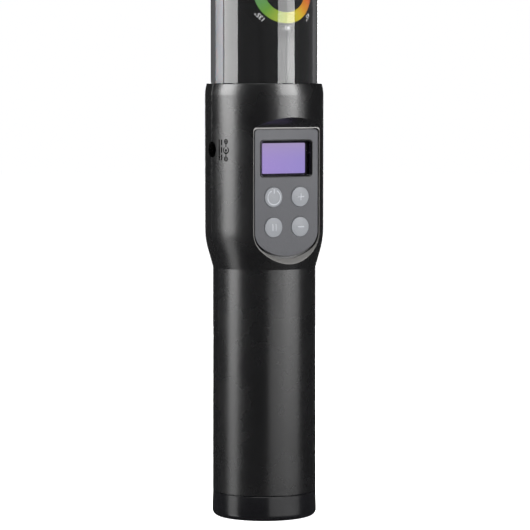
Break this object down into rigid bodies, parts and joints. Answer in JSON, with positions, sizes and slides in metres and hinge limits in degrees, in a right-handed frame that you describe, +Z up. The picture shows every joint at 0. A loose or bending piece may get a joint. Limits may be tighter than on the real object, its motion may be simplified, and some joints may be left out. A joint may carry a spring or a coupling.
{
  "type": "led light tube",
  "caption": "Hand-held LED light tube: black moulded grip and collar with a recessed control panel, a clear light tube above and a screw-in base cap.",
  "frame": {"origin": "centre of the end cap's bottom face", "axes": "+Z up along the tube towards the upper cap, -Y out of the control panel, -X out of the charging inlet, +Y is the light side"},
  "size_m": [0.052, 0.052, 0.53],
  "materials": {
    "handle_plastic": "fine satin moulding texture, black",
    "cap_plastic": "smooth semi-gloss black moulding",
    "fascia_plastic": "fine matt grey paint",
    "bezel_paint": "silver paint",
    "frame_plastic": "polished black",
    "lens_clear": "clear window pane",
    "lcd_glass": "lavender backlit display glass",
    "white_plastic": "white light guide",
    "switch_plastic": "black switch bodies",
    "plunger_plastic": "black switch centre",
    "board_laminate": "green solder resist",
    "chip_plastic": "black component packages",
    "black_steel": "black oxide screws",
    "bright_steel": "plated screws",
    "jack_plastic": "black inlet moulding",
    "contact_metal": "nickel plated contacts",
    "bush_brass": "turned brass",
    "seal_rubber": "black seal rubber",
    "ring_plastic": "black inner moulding",
    "cell_can": "sleeved cylindrical cells",
    "wrap_film": "blue heat-shrink film",
    "foam_pad": "grey foam",
    "card_paper": "insulating card",
    "tube_clear": "clear polished tube",
    "channel_black": "black anodised extrusion",
    "diffuser_milky": "milky diffusing cover",
    "label_film": "printed colour ring on black film",
    "led_board_white": "white solder resist on a metal core",
    "led_phosphor": "white packages with yellow phosphor",
    "lead_insulation": "insulated leads",
    "button_rubber": "soft grey rubber with raised symbols"
  },
  "bodies": {
    "handle": {"handle_front_shell": "handle_plastic", "handle_rear_shell": "handle_plastic", "shell_screws": "black_steel", "control_fascia": "fascia_plastic", "fascia_bezel": "bezel_paint", "screen_frame": "frame_plastic", "screen_lens": "lens_clear", "lcd_panel": "lcd_glass", "lcd_holder": "white_plastic", "tact_switches": "switch_plastic", "control_board": "board_laminate", "board_components": "chip_plastic", "board_screws": "bright_steel", "dc_jack_body": "jack_plastic", "dc_jack_pin": "contact_metal", "dc_jack_spring": "contact_metal", "cap_thread_ring": "ring_plastic", "battery_cells": "cell_can", "battery_wrap": "wrap_film", "nickel_strips": "contact_metal", "pack_foam": "foam_pad", "pack_paper": "card_paper", "protection_board": "board_laminate", "protection_components": "chip_plastic", "battery_bulkhead": "ring_plastic", "light_tube": "tube_clear", "socket_gasket": "seal_rubber", "tube_plug": "ring_plastic", "plug_seal": "seal_rubber", "back_channel": "channel_black", "diffuser": "diffuser_milky", "colour_wheel_label": "label_film", "led_board": "led_board_white", "led_chips": "led_phosphor", "led_board_screws": "bright_steel", "top_cap": "cap_plastic", "top_cap_seal": "seal_rubber", "top_cap_screws": "black_steel", "battery_leads": "lead_insulation", "led_leads": "lead_insulation", "inlet_leads": "lead_insulation"},
    "power_key": {"power_button": "button_rubber", "power_plunger": "plunger_plastic"},
    "plus_key": {"plus_button": "button_rubber", "plus_plunger": "plunger_plastic"},
    "pause_key": {"pause_button": "button_rubber", "pause_plunger": "plunger_plastic"},
    "minus_key": {"minus_button": "button_rubber", "minus_plunger": "plunger_plastic"},
    "cap_seal": {"end_cap_seal": "seal_rubber"},
    "base_cap": {"end_cap": "cap_plastic", "spigot_thread": "cap_plastic", "tripod_bush": "bush_brass"}
  },
  "joints": [
    {"name": "power_press", "type": "slide", "parent": "handle", "child": "power_key", "axis": [0, 1, 0], "range_m": [0, 0.0007], "stiffness_N_per_m": 1200, "springref_m": -0.0005},
    {"name": "plus_press", "type": "slide", "parent": "handle", "child": "plus_key", "axis": [0, 1, 0], "range_m": [0, 0.0007], "stiffness_N_per_m": 1200, "springref_m": -0.0005},
    {"name": "pause_press", "type": "slide", "parent": "handle", "child": "pause_key", "axis": [0, 1, 0], "range_m": [0, 0.0007], "stiffness_N_per_m": 1200, "springref_m": -0.0005},
    {"name": "minus_press", "type": "slide", "parent": "handle", "child": "minus_key", "axis": [0, 1, 0], "range_m": [0, 0.0007], "stiffness_N_per_m": 1200, "springref_m": -0.0005},
    {"name": "cap_travel", "type": "slide", "parent": "handle", "child": "cap_seal", "axis": [0, 0, -1], "range_m": [0, 0.008]},
    {"name": "cap_turn", "type": "hinge", "parent": "cap_seal", "child": "base_cap", "pos_m": [0, 0, 0.006], "axis": [0, 0, -1], "range_deg": [0, 1440]}
  ],
  "couplings": [
    {"joint": "cap_travel", "follows": "cap_turn", "m_per_rad": 0.00031831}
  ]
}
